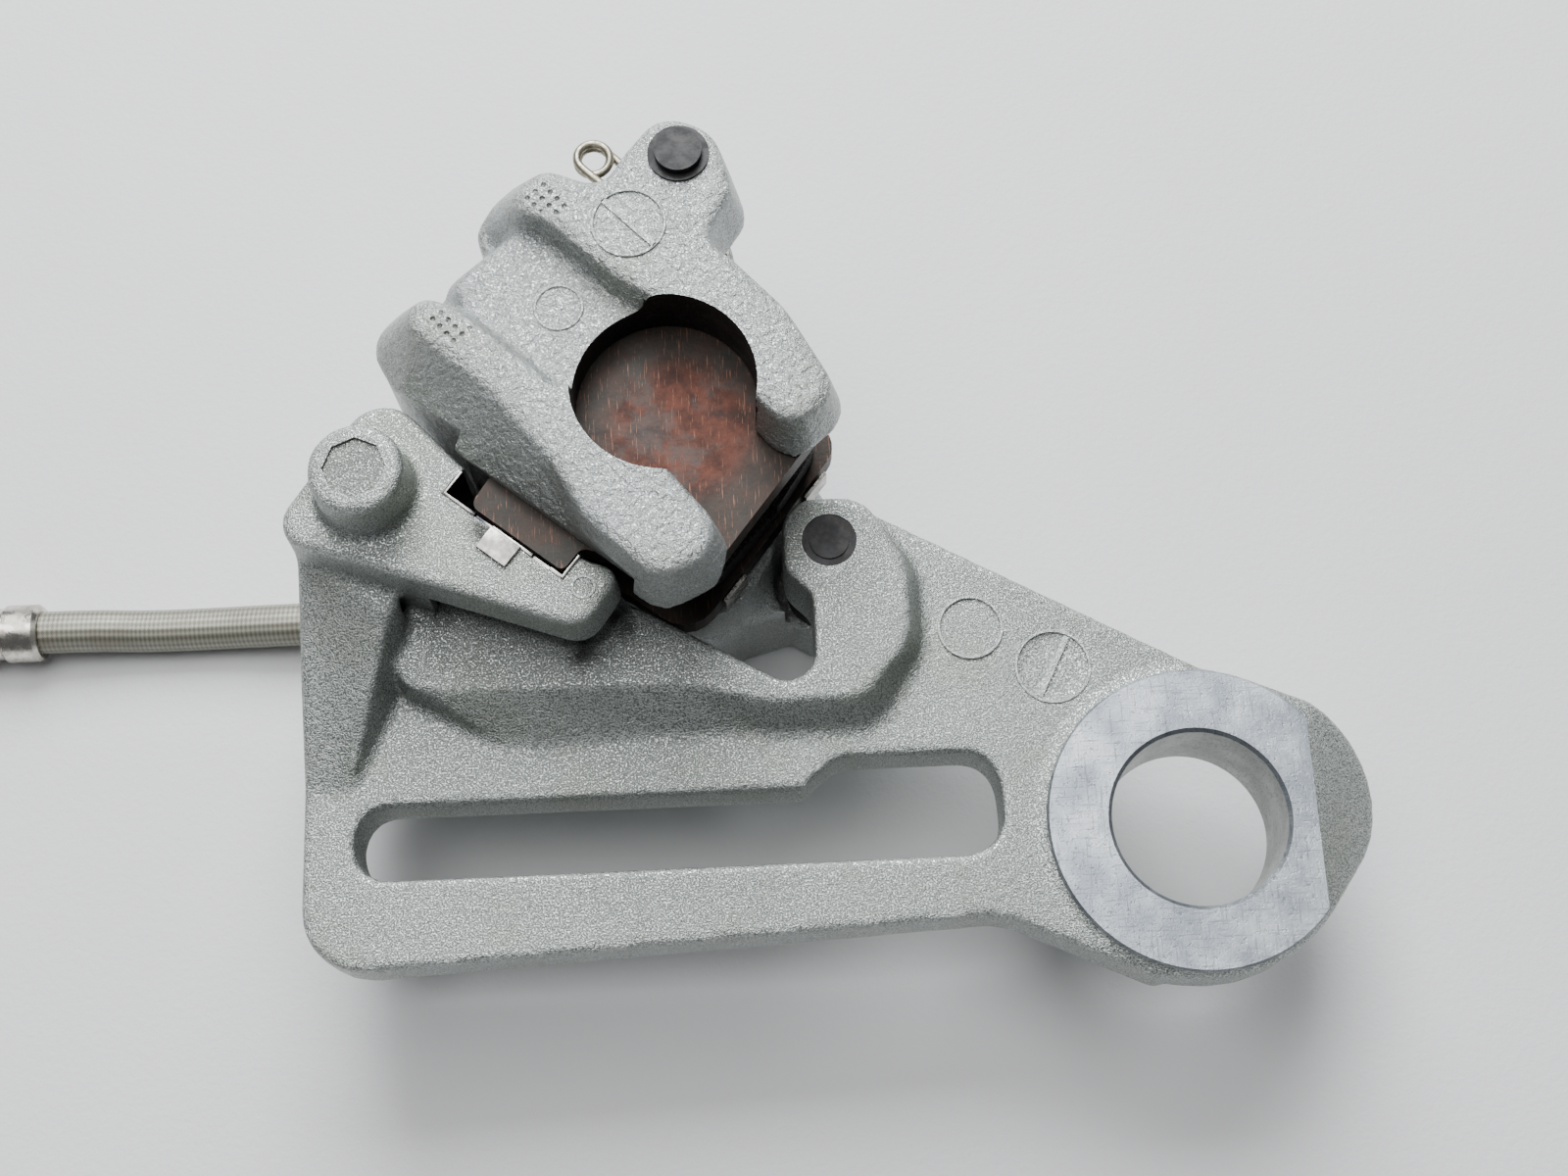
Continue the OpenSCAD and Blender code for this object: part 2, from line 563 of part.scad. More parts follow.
module banjo_bolt() {
    head = 2 * washer_t + eye_t;
    color("#a9a9a4") banjo_frame() difference() {
        union() {
            rod(bolt_r, -10, head);
            rod(bolt_r + 2.6, head, head + 1);
            hexagon(13, head + 1, head + 6);
        }
        rod(1.6, -11, washer_t + eye_t - 2);
    }
}
module banjo_washers() {
    color("#b87a4b") banjo_frame() for (lo = [0, washer_t + eye_t])
        ring(bolt_r + 2.2, bolt_r, lo, lo + washer_t);
}
module banjo_fitting() {
    y = hose_y;
    bend = [[banjo_x - eye_r + 1.2, y, banjo_z], [banjo_x - eye_r - 1.5, y, banjo_z - 0.6],
        [banjo_x - eye_r - 4.2, y, banjo_z - 2.4], [near_x + 3, y, hose_z + 0.9], [near_x + 1.5, y, hose_z],
        [near_x, y, hose_z]];
    color("#b0afa8") difference() {
        union() {
            banjo_frame() ring(eye_r, bolt_r + 0.1, washer_t, washer_t + eye_t);
            tube(bend, 3.2, 16, [0, 1, 0]);
        }
        banjo_frame() rod(bolt_r + 0.1, washer_t - 1, washer_t + eye_t + 1);
    }
}
module ferrule(lo, hi) {
    r = ferrule_d / 2;
    l = hi - lo;
    translate([lo, 0, 0]) rotate([0, 90, 0]) rotate_extrude() polygon([[0, 0], [r - 0.9, 0], [r, 0.8],
        [r, l * 0.28], [r - 0.5, l * 0.31], [r - 0.5, l * 0.36], [r, l * 0.39], [r, l * 0.62],
        [r - 0.5, l * 0.65], [r - 0.5, l * 0.7], [r, l * 0.73], [r, l - 0.6], [r - 0.5, l], [0, l]]);
}
module hose_ferrule_near() {
    color("#a8a7a0") translate([0, hose_y, hose_z]) ferrule(exit_x, near_x);
}
module brake_hose() {
    color("#77776a") tube(HOSE, hose_r, 12);
}
module hose_ferrule_far() {
    color("#a8a7a0") translate([0, hose_y + 0.4, hose_z]) ferrule(far_x - ferrule_l, far_x);
}
module hose_end_eye() {
    x = far_x - ferrule_l;
    neck = 6;
    c = x - neck - eye_r + 1;
    color("#b0afa8") translate([0, hose_y + 0.4, 0]) difference() {
        union() {
            translate([c, 0, back_z + 0.1]) rod(eye_r, 0, eye_t);
            translate([x, 0, hose_z]) rotate([0, -90, 0]) rod(3.2, 0, neck + 3);
        }
        translate([c, 0, back_z - 1]) rod(bolt_r + 0.1, 0, eye_t + 3);
    }
}

carrier_bracket();
carrier_guide_pin();
pad_abutment_clip();
caliper_body();
caliper_guide_pin();
guide_boot_left();
guide_boot_right();
piston();
piston_seal();
dust_seal();
piston_pad_plate();
piston_pad_lining();
piston_pad_shim();
wheel_pad_plate();
wheel_pad_lining();
pad_pin();
pad_pin_clip();
pad_spring();
bleed_screw();
bleed_cap();
banjo_bolt();
banjo_washers();
banjo_fitting();
hose_ferrule_near();
brake_hose();
hose_ferrule_far();
hose_end_eye();
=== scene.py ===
# A rear disc-brake caliper of a motorcycle on its carrier bracket, off the machine: the
# slotted bracket with its axle eye, the floating caliper with its two fingers, the pads and
# pins between them, and the crimped end of the braided hose.
import bpy
import bmesh
from math import acos, cos, pi, radians, sin, tan
from mathutils import Matrix, Vector


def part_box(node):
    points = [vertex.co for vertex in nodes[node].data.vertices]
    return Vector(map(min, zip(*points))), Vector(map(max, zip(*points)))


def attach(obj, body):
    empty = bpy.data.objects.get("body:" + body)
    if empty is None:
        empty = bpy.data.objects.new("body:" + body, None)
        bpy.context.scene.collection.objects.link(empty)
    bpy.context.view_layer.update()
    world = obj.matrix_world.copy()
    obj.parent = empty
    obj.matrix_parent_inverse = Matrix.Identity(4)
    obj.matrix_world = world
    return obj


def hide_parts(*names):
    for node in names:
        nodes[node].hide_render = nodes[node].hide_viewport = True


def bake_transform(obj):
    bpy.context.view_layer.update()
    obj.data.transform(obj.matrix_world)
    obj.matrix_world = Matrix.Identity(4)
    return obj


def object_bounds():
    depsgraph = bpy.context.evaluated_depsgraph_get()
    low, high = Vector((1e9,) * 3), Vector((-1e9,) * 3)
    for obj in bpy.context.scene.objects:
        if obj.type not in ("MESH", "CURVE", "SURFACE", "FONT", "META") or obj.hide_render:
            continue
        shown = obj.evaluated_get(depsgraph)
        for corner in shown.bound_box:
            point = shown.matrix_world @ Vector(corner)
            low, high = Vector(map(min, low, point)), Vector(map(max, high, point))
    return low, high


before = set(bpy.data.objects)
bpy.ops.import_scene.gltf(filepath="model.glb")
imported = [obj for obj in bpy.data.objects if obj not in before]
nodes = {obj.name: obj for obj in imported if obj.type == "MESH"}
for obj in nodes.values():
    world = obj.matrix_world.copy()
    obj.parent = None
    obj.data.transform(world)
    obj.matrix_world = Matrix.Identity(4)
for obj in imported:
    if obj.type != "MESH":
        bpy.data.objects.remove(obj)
cad_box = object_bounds()
scene = bpy.context.scene
mm = 0.001

# ---- Camera, table and light -----------------------------------------------------------
# A hand-held look from above and a little from the axle's side, over a pale painted table
# under a wide, soft window light from behind.
camera = bpy.data.objects.new("camera", bpy.data.cameras.new("camera"))
scene.collection.objects.link(camera)
camera.data.lens = 48.0
camera.data.sensor_width = 36.0
camera.data.clip_start = 0.02
right = Vector((0.9991, -0.0420, -0.0080)).normalized()
up = Vector((0.0425, 0.9499, 0.3098)).normalized()
back = right.cross(up).normalized()
up = back.cross(right)
camera.matrix_world = Matrix.Translation((-59.1 * mm, -58.3 * mm, 292.7 * mm)) @ Matrix(
    (right, up, back)).transposed().to_4x4()
scene.camera = camera


def material(name, metallic, rough, specular=0.5):
    """A new material, its node tree and its shader."""
    mat = bpy.data.materials.new(name)
    mat.use_nodes = True
    tree = mat.node_tree
    shader = tree.nodes["Principled BSDF"]
    shader.inputs["Metallic"].default_value = metallic
    shader.inputs["Roughness"].default_value = rough
    shader.inputs["Specular IOR Level"].default_value = specular
    return mat, tree, shader


def place(tree, scale=1.0, turn=(0, 0, 0), shift=(0, 0, 0)):
    """Object coordinates in millimetres, scaled and turned."""
    coords = tree.nodes.new("ShaderNodeTexCoord")
    mapping = tree.nodes.new("ShaderNodeMapping")
    mapping.inputs["Scale"].default_value = [1000 * s for s in (
        scale if isinstance(scale, tuple) else (scale,) * 3)]
    mapping.inputs["Rotation"].default_value = turn
    mapping.inputs["Location"].default_value = shift
    tree.links.new(coords.outputs["Object"], mapping.inputs["Vector"])
    return mapping.outputs["Vector"]


def grain(tree, vector, detail=3.0, rough=0.5, low=0.0, high=1.0):
    """Soft noise between two levels."""
    tex = tree.nodes.new("ShaderNodeTexNoise")
    tex.inputs["Scale"].default_value = 1.0
    tex.inputs["Detail"].default_value = detail
    tex.inputs["Roughness"].default_value = rough
    tree.links.new(vector, tex.inputs["Vector"])
    return levels(tree, tex.outputs["Fac"], low, high)


def levels(tree, value, low, high, out_low=0.0, out_high=1.0):
    """Stretches a value from low..high to out_low..out_high, and stops there."""
    ramp = tree.nodes.new("ShaderNodeMapRange")
    ramp.interpolation_type = "SMOOTHSTEP"
    ramp.inputs["From Min"].default_value = low
    ramp.inputs["From Max"].default_value = high
    ramp.inputs["To Min"].default_value = out_low
    ramp.inputs["To Max"].default_value = out_high
    tree.links.new(value, ramp.inputs["Value"])
    return ramp.outputs["Result"]


def sums(tree, kind, a, b):
    """One step of arithmetic on two values, either of which may be a number."""
    step = tree.nodes.new("ShaderNodeMath")
    step.operation = kind
    for slot_in, value in zip(step.inputs, (a, b)):
        if isinstance(value, (int, float)):
            slot_in.default_value = value
        else:
            tree.links.new(value, slot_in)
    return step.outputs["Value"]


def blended(tree, factor, a, b):
    """Colour a where factor is 0, b where it is 1."""
    mix = tree.nodes.new("ShaderNodeMix")
    mix.data_type = "RGBA"
    if isinstance(factor, (int, float)):
        mix.inputs["Factor"].default_value = factor
    else:
        tree.links.new(factor, mix.inputs["Factor"])
    for name, value in (("A", a), ("B", b)):
        spot = [s for s in mix.inputs if s.name == name and s.type == "RGBA"][0]
        if isinstance(value, tuple):
            spot.default_value = (*value, 1.0)
        else:
            tree.links.new(value, spot)
    return [s for s in mix.outputs if s.type == "RGBA"][0]


def bumped(tree, shader, height, strength, distance, after=None):
    """Relief from a height, distance in metres at full height."""
    bump = tree.nodes.new("ShaderNodeBump")
    bump.inputs["Strength"].default_value = strength
    bump.inputs["Distance"].default_value = distance
    tree.links.new(height, bump.inputs["Height"])
    if after is not None:
        tree.links.new(after, bump.inputs["Normal"])
    tree.links.new(bump.outputs["Normal"], shader.inputs["Normal"])
    return bump.outputs["Normal"]


def near(tree, spot, inner, outer, ragged=0.0):
    """1 within inner mm of a point, 0 beyond outer mm, with a ragged border."""
    where = place(tree)
    gap = tree.nodes.new("ShaderNodeVectorMath")
    gap.operation = "DISTANCE"
    gap.inputs[1].default_value = spot
    tree.links.new(where, gap.inputs[0])
    away = gap.outputs["Value"]
    if ragged:
        away = sums(tree, "ADD", away, sums(tree, "MULTIPLY", grain(tree, place(tree, 0.35)), ragged))
    return levels(tree, away, outer, inner)


table_paint, tree, shader = material("table_paint", 0.0, 0.55, 0.4)
tint = blended(tree, grain(tree, place(tree, 0.02)), (0.66, 0.665, 0.675), (0.70, 0.705, 0.71))
tree.links.new(tint, shader.inputs["Base Color"])
bumped(tree, shader, grain(tree, place(tree, 1.1), 4.0, 0.55), 0.35, 0.00018)

table = bpy.data.meshes.new("table")
bm = bmesh.new()
bmesh.ops.create_grid(bm, x_segments=1, y_segments=1, size=3.0)
bmesh.ops.translate(bm, verts=bm.verts, vec=(0, 0, cad_box[0].z))
bm.to_mesh(table)
bm.free()
table.materials.append(table_paint)
table = bpy.data.objects.new("table", table)
scene.collection.objects.link(table)


def soft_light(name, at, look, size, power, tint=(1.0, 1.0, 1.0)):
    """A square panel of light that faces a point."""
    lamp = bpy.data.lights.new(name, "AREA")
    lamp.shape = "SQUARE"
    lamp.size = size
    lamp.energy = power
    lamp.color = tint
    panel = bpy.data.objects.new(name, lamp)
    panel.location = at
    panel.rotation_euler = (Vector(look) - Vector(at)).to_track_quat("-Z", "Y").to_euler()
    scene.collection.objects.link(panel)


soft_light("window", (-0.10, 0.85, 0.75), (-0.06, 0.03, 0), 0.7, 27.0, (0.97, 0.99, 1.0))
soft_light("ceiling", (-0.30, 0.25, 1.2), (-0.06, 0.02, 0), 0.9, 13.0)
world = bpy.data.worlds.new("room")
world.use_nodes = True
world.node_tree.nodes["Background"].inputs["Color"].default_value = (0.93, 0.96, 1.0, 1.0)
world.node_tree.nodes["Background"].inputs["Strength"].default_value = 0.13
scene.world = world

# ---- Braided hose ----------------------------------------------------------------------
# A teflon line in a woven steel braid under a clear, slightly yellowed sleeve. It leaves a
# crimped ferrule behind the caliper, lies on the table and runs into the far ferrule.
hose_d = 6.8 * mm
ferrule_lo, ferrule_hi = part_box("hose_ferrule_near")
exit_point = Vector((ferrule_lo.x, (ferrule_lo.y + ferrule_hi.y) / 2, (ferrule_lo.z + ferrule_hi.z) / 2))
far_lo, far_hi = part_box("hose_ferrule_far")
lay = cad_box[0].z + hose_d / 2 + 0.1 * mm - exit_point.z
steps_x = (0, -5, -10, -15, -20, -25, -30, -35, -40)
steps_y = (0, 0, 0.1, 0.2, 0.2, 0.2, 0.3, 0.4, 0.4)
steps_z = (0, -0.1 * mm, -0.5 * mm, lay + 0.1 * mm, lay, lay, lay + 0.1 * mm, -0.5 * mm, -0.1 * mm)
route = [exit_point + Vector((x * mm, y * mm, z)) for x, y, z in zip(steps_x, steps_y, steps_z)]
route.append(Vector((far_hi.x, (far_lo.y + far_hi.y) / 2, exit_point.z)))


def link_piece(name, bm, *mats):
    """The finished mesh as a piece at the origin."""
    mesh = bpy.data.meshes.new(name)
    bm.to_mesh(mesh)
    bm.free()
    for mat in mats:
        mesh.materials.append(mat)
    piece = bpy.data.objects.new(name, mesh)
    scene.collection.objects.link(piece)
    return piece


def shaded(piece, angle=40):
    """Smooth faces, with edges sharper than the angle kept crisp."""
    piece.data.polygons.foreach_set("use_smooth", [True] * len(piece.data.polygons))
    piece.data.set_sharp_from_angle(angle=radians(angle))
    return piece


def smooth_line(points, per_step):
    """A Catmull-Rom line through the points."""
    ends = [2 * points[0] - points[1]] + list(points) + [2 * points[-1] - points[-2]]
    line = []
    for i in range(1, len(ends) - 2):
        a, b, c, d = ends[i - 1:i + 3]
        for k in range(per_step):
            t = k / per_step
            line.append(0.5 * (2 * b + (c - a) * t + (2 * a - 5 * b + 4 * c - d) * t ** 2
                               + (3 * b - a - 3 * c + d) * t ** 3))
    line.append(points[-1].copy())
    return line


def tube_along(line, radius, sides, upright, relief=None):
    """A closed tube whose rings stand square to the line; relief(s, turn) lifts a point."""
    bm = bmesh.new()
    rings = []
    uv = bm.loops.layers.uv.new("sleeve")
    run = 0.0
    for i, p in enumerate(line):
        ahead = (line[min(i + 1, len(line) - 1)] - line[max(i - 1, 0)]).normalized()
        side = ahead.cross(upright).normalized()
        top = side.cross(ahead)
        if i:
            run += (p - line[i - 1]).length
        ring = bmesh.ops.create_circle(bm, segments=sides, radius=radius)["verts"]
        for j, v in enumerate(ring):
            turn = 2 * pi * j / sides
            reach = radius + (relief(run, turn) if relief else 0.0)
            v.co = p + reach * (cos(turn) * side + sin(turn) * top)
        rings.append((ring, run))
    for (a, s0), (b, s1) in zip(rings, rings[1:]):
        for j in range(sides):
            k = (j + 1) % sides
            face = bm.faces.new((a[j], a[k], b[k], b[j]))
            ends = ((s0, j), (s0, j + 1), (s1, j + 1), (s1, j))
            for loop, (s, step) in zip(face.loops, ends):
                loop[uv].uv = (s * 1000, step / sides)
    bm.faces.new(reversed(rings[0][0]))
    bm.faces.new(rings[-1][0])
    bmesh.ops.recalc_face_normals(bm, faces=bm.faces)
    return bm


braid_pitch = 13.0 * mm
braid_strands = 9


def braid_relief(s, turn):
    """Two families of strands, over and under each other."""
    a = sin(braid_strands * turn + 2 * pi * braid_strands * s / braid_pitch)
    b = sin(braid_strands * turn - 2 * pi * braid_strands * s / braid_pitch)
    return 0.07 * mm * (a * b) - 0.05 * mm


braid, tree, shader = material("braid", 0.35, 0.42, 0.55)
shader.inputs["Coat Weight"].default_value = 0.35
shader.inputs["Coat Roughness"].default_value = 0.35
uv_map = tree.nodes.new("ShaderNodeUVMap")
uv_map.uv_map = "sleeve"
parts = tree.nodes.new("ShaderNodeSeparateXYZ")
tree.links.new(uv_map.outputs["UV"], parts.inputs["Vector"])
along = sums(tree, "MULTIPLY", parts.outputs["X"], 2 * pi * braid_strands / 13.0)
around = sums(tree, "MULTIPLY", parts.outputs["Y"], 2 * pi * braid_strands)
left_hand = sums(tree, "SINE", sums(tree, "ADD", around, along), 0)
right_hand = sums(tree, "SINE", sums(tree, "SUBTRACT", around, along), 0)
weave = levels(tree, sums(tree, "MULTIPLY", left_hand, right_hand), -0.8, 0.8)
wire_lines = sums(tree, "SINE", sums(tree, "MULTIPLY", sums(tree, "ADD", around, along), 5.0), 0)
wire_lines = levels(tree, wire_lines, -1.0, 1.0, 0.0, 0.35)
tone = sums(tree, "ADD", sums(tree, "MULTIPLY", weave, 0.65), wire_lines)
fibre = blended(tree, tone, (0.085, 0.082, 0.062), (0.33, 0.325, 0.265))
dirt = grain(tree, place(tree, 0.25), 3.0, 0.6, 0.45, 0.75)
tree.links.new(blended(tree, sums(tree, "MULTIPLY", dirt, 0.45), fibre, (0.16, 0.145, 0.105)),
               shader.inputs["Base Color"])
bumped(tree, shader, tone, 0.4, 0.00015)

hose_line = smooth_line(route, 14)
hose = shaded(link_piece("hose_sleeve", tube_along(hose_line, hose_d / 2, 64, Vector((0, 1, 0)),
                                                   braid_relief), braid), 60)
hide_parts("brake_hose")
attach(hose, "caliper")

# ---- Cast and machined aluminium -------------------------------------------------------
# Both castings are bead-blasted aluminium with a fine sparkling grain, a little greenish
# dirt in patches, creases darkened as painted shade, and black brake dust where the pads'
# clip and the disc throw it.
by_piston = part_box("piston")
P = (by_piston[0] + by_piston[1]) / 2
hook_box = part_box("carrier_guide_pin")
boss_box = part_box("caliper_guide_pin")
hook_at = (hook_box[0] + hook_box[1]) / 2
boss_at = (boss_box[0] + boss_box[1]) / 2


def cast_aluminium(name, grain_size, dark, light, dust_spots, hammered=0.0):
    """Blasted casting metal, its grain from dark to light, with dust at (place, size, strength)."""
    mat, tree, shader = material(name, 0.85, 0.4, 0.5)
    fine = grain(tree, place(tree, 1.0 / grain_size), 2.0, 0.6, 0.36, 0.64)
    coarse = grain(tree, place(tree, 0.9), 2.0, 0.45, 0.35, 0.65)
    cloud = grain(tree, place(tree, 0.07), 3.0, 0.55, 0.42, 0.72)
    base = blended(tree, fine, dark, light)
    base = blended(tree, sums(tree, "MULTIPLY", cloud, 0.35), base, (0.27, 0.28, 0.22))
    flecks = grain(tree, place(tree, 0.9), 4.0, 0.7, 0.66, 0.74)
    base = blended(tree, sums(tree, "MULTIPLY", flecks, 0.3), base, (0.22, 0.22, 0.19))
    rough = levels(tree, fine, 0.0, 1.0, 0.46, 0.3)
    for spot, size, strength in dust_spots:
        dust = near(tree, spot, 0.35 * size, size, 0.7 * size)
        dust = sums(tree, "MULTIPLY", dust, strength)
        base = blended(tree, dust, base, (0.03, 0.029, 0.027))
    crease = tree.nodes.new("ShaderNodeNewGeometry").outputs["Pointiness"]
    worn = levels(tree, crease, 0.51, 0.56, 0.0, 0.45)
    base = blended(tree, worn, base, (0.60, 0.63, 0.62))
    # painted shade: concave creases (low pointiness) darkened towards near black
    low = levels(tree, crease, 0.485, 0.42, 0.0, 0.45)
    base = blended(tree, low, base, (0.06, 0.06, 0.05))
    tree.links.new(base, shader.inputs["Base Color"])
    tree.links.new(rough, shader.inputs["Roughness"])
    first = bumped(tree, shader, fine, 0.8, 0.00009)
    bumped(tree, shader, coarse, 0.3 + hammered, 0.00016, first)
    return mat


def machined(name, base_a, base_b, rough, lines, dark=0.0, scratches=0.5):
    """Cut or worn metal with fine lines, dark specks and scratches."""
    mat, tree, shader = material(name, 0.9, rough, 0.5)
    cloud = grain(tree, place(tree, 0.16), 4.0, 0.6, 0.35, 0.7)
    base = blended(tree, cloud, base_a, base_b)
    speck = grain(tree, place(tree, 1.3), 5.0, 0.75, 0.53, 0.66)
    base = blended(tree, sums(tree, "MULTIPLY", speck, 0.55), base, (0.08, 0.085, 0.1))
    streak_a = grain(tree, place(tree, (0.25, 5.0, 1.0), (0, 0, radians(35))), 3.0, 0.6, 0.56, 0.66)
    streak_b = grain(tree, place(tree, (4.0, 0.2, 1.0), (0, 0, radians(-20))), 3.0, 0.6, 0.57, 0.66)
    both = sums(tree, "MULTIPLY", sums(tree, "MAXIMUM", streak_a, streak_b), scratches)
    base = blended(tree, both, base, (0.12, 0.125, 0.14))
    if dark:
        base = blended(tree, dark, base, (0.05, 0.05, 0.05))
    tree.links.new(base, shader.inputs["Base Color"])
    tool = grain(tree, place(tree, lines), 2.0, 0.5)
    first = bumped(tree, shader, tool, 0.3, 0.00004)
    bumped(tree, shader, speck, 0.3, -0.00008, first)
    return mat


def copy_of(node):
    """A merged copy of a CAD node's mesh, as a new bmesh."""
    bm = bmesh.new()
    bm.from_mesh(nodes[node].data)
    bmesh.ops.remove_doubles(bm, verts=bm.verts, dist=1e-6)
    return bm


def rounded(corners, steps=7):
    """An outline in metres from corners (x, y, radius) in millimetres."""
    points = []
    count = len(corners)
    for i, corner in enumerate(corners):
        here = Vector(corner[:2])
        if len(corner) < 3:
            points.append(here * mm)
            continue
        u = Vector(corners[i - 1][:2]) - here
        v = Vector(corners[(i + 1) % count][:2]) - here
        lu, lv = u.length, v.length
        turn = acos(max(-1.0, min(1.0, u.dot(v) / (lu * lv))))
        run = min(max(0.6, corner[2] / tan(turn / 2)), 0.46 * min(lu, lv))
        middle = (u / lu + v / lv).normalized()
        centre = here + middle * (run * tan(turn / 2) / sin(turn / 2))
        start = here + u / lu * run - centre
        side = -1 if u.x * v.y - u.y * v.x > 0 else 1
        for k in range(steps + 1):
            q = side * (pi - turn) * k / steps
            points.append((centre + Matrix.Rotation(q, 2) @ start) * mm)
    return points


def loft(bm, foot, top, lo, hi):
    """A solid that runs from a foot outline to a top outline with as many points."""
    low_face = bm.faces.new([bm.verts.new((p.x, p.y, lo * mm)) for p in foot])
    made = bmesh.ops.extrude_face_region(bm, geom=[low_face])["geom"]
    high = [g for g in made if isinstance(g, bmesh.types.BMVert)]
    for v in high:
        nearest = min(range(len(foot)), key=lambda i: (foot[i] - v.co.xy).length)
        v.co = (top[nearest].x, top[nearest].y, hi * mm)
    return list(low_face.verts) + high


def disc(bm, r, lo, hi, at=(0, 0), sides=96, r_top=None):
    """A round blank, its ends at two heights, in millimetres."""
    made = bmesh.ops.create_cone(bm, cap_ends=True, segments=sides, radius1=r * mm,
                                 radius2=(r if r_top is None else r_top) * mm, depth=(hi - lo) * mm)
    bmesh.ops.translate(bm, verts=made["verts"], vec=(at[0] * mm, at[1] * mm, (lo + hi) / 2 * mm))
    return made["verts"]


def spun(bm, profile, at=(0, 0), steps=64, closed=True):
    """A body of revolution about Z from (radius, height) points in millimetres."""
    line = [bm.verts.new((r * mm, 0, z * mm)) for r, z in profile]
    pairs = list(zip(line, line[1:]))
    if closed:
        pairs.append((line[-1], line[0]))
    edges = [bm.edges.new(pair) for pair in pairs]
    before = set(bm.verts) - set(line)
    bmesh.ops.spin(bm, geom=line + edges, cent=(0, 0, 0), axis=(0, 0, 1), dvec=(0, 0, 0),
                   angle=2 * pi, steps=steps, use_merge=True)
    made = [v for v in bm.verts if v not in before]
    bmesh.ops.remove_doubles(bm, verts=made, dist=1e-6)
    made = [v for v in bm.verts if v not in before]
    bmesh.ops.translate(bm, verts=made, vec=(at[0] * mm, at[1] * mm, 0))
    return made


def raised_rim(bm, r, width, lo, hi, at):
    """A low closed ring, as a foundry mark has round it."""
    spun(bm, [(r - width, lo), (r, lo), (r, hi - 0.1), (r - 0.1, hi), (r - width + 0.1, hi),
              (r - width, hi - 0.1)], at, 48)


def block(bm, lo, hi):
    """A box between two corners, in millimetres."""
    made = bmesh.ops.create_cube(bm, size=1.0)
    size = [(b - a) * mm for a, b in zip(lo, hi)]
    middle = [(a + b) / 2 * mm for a, b in zip(lo, hi)]
    bmesh.ops.scale(bm, verts=made["verts"], vec=size)
    bmesh.ops.translate(bm, verts=made["verts"], vec=middle)
    return made["verts"]


def turned(at, degrees):
    """A frame at a point of the plan, turned about Z."""
    return Matrix.Translation((at.x, at.y, 0)) @ Matrix.Rotation(radians(degrees), 4, "Z")


def combine(piece, bm, kind, solver="MANIFOLD"):
    """Joins or cuts the piece with every closed shape in bm."""
    bmesh.ops.recalc_face_normals(bm, faces=bm.faces)
    tool = link_piece("tool", bm)
    step = piece.modifiers.new("shape", "BOOLEAN")
    step.operation = kind
    step.solver = solver
    step.object = tool
    apply_steps(piece)
    bpy.data.objects.remove(tool)


def apply_steps(piece):
    """Turns the piece's modifiers into its mesh."""
    graph = bpy.context.evaluated_depsgraph_get()
    finished = bpy.data.meshes.new_from_object(piece.evaluated_get(graph))
    old = piece.data
    piece.modifiers.clear()
    piece.data = finished
    bpy.data.meshes.remove(old)


def cast(piece, voxel, passes):
    """Melts overlapping shells into one skin with soft edges."""
    step = piece.modifiers.new("skin", "REMESH")
    step.mode = "VOXEL"
    step.voxel_size = voxel * mm
    apply_steps(piece)
    bm = bmesh.new()
    bm.from_mesh(piece.data)
    for _ in range(passes):
        bmesh.ops.smooth_vert(bm, verts=bm.verts, factor=0.5, use_axis_x=True, use_axis_y=True,
                              use_axis_z=True)
    bm.to_mesh(piece.data)
    bm.free()


# ---- Carrier bracket -------------------------------------------------------------------
# One aluminium casting. A flat plate with the torque slot ends in the axle's eye. On its
# wheel side a thick arm holds the pads' channel and a blind boss, and a raised shoulder
# curls into the hook for the second guide pin. The eye, bore and channel are machined.
plate_top = 0.0
arm_top = 19.0
shoulder_h = 5.0
slot_top = 11.5  # underside of the arm, over the disc
boss_top = 28.0
pocket_r = 113.0
ring_r = 21.7
ring_z = 1.3
finger_turn = 40.0
pad_turn = 51.3
px, py = P.x / mm, P.y / mm


def off_piston(*corners):
    """Corners given from the piston's axis."""
    return [(px + c[0], py + c[1], *c[2:]) for c in corners]


throat = off_piston((19.6, -39.6, 7.2), (19.6, -24.2, 2.5), (15.5, -20.2, 4), (15.5, -9, 6.9))
shoulder_inner = off_piston((-41, -35.9, 4), (-39, -20.4, 2), (-22, -24.4, 2), (-6, -24.6, 1.5))
shoulder_foot = off_piston((28.2, -9.6, 6), (35.8, -19.9, 10), (35.8, -32.4, 8), (28.5, -44.2, 6),
                           (13, -44.4, 8), (-1, -44.4, 10), (-22, -45.9, 8)) + shoulder_inner + throat
shoulder_top = off_piston((27.6, -9.2, 6), (33.4, -19.9, 10), (33.4, -31.2, 8), (26.2, -39.6, 6),
                          (13, -39.6, 8), (0, -36.6, 10), (-22, -36.4, 8)) + shoulder_inner + throat
arm_foot = off_piston((-28.4, -6.9, 1), (-41, 7, 5.8), (-57.7, -16.7, 4), (-11.5, -33.2, 4),
                      (-5.8, -23.9, 2), (-11.6, -21.1, 1))
arm_head = off_piston((-29, -7.5, 1), (-41, 5.8, 5.8), (-56.6, -16.7, 4), (-12.4, -32.2, 4),
                      (-6.6, -23.9, 2), (-12.2, -21.9, 1))
left_x = px - 54.4
gusset_foot = [(left_x, 6.4), (left_x + 6, 6.4), (left_x + 13.5, py - 36), (left_x + 16, py - 27),
               (left_x, py - 16.4)]
gusset_head = [(left_x + 0.6, py - 17), (left_x + 2, py - 19), (left_x + 14, py - 26),
               (left_x + 15.5, py - 24), (left_x + 1, py - 15.4)]

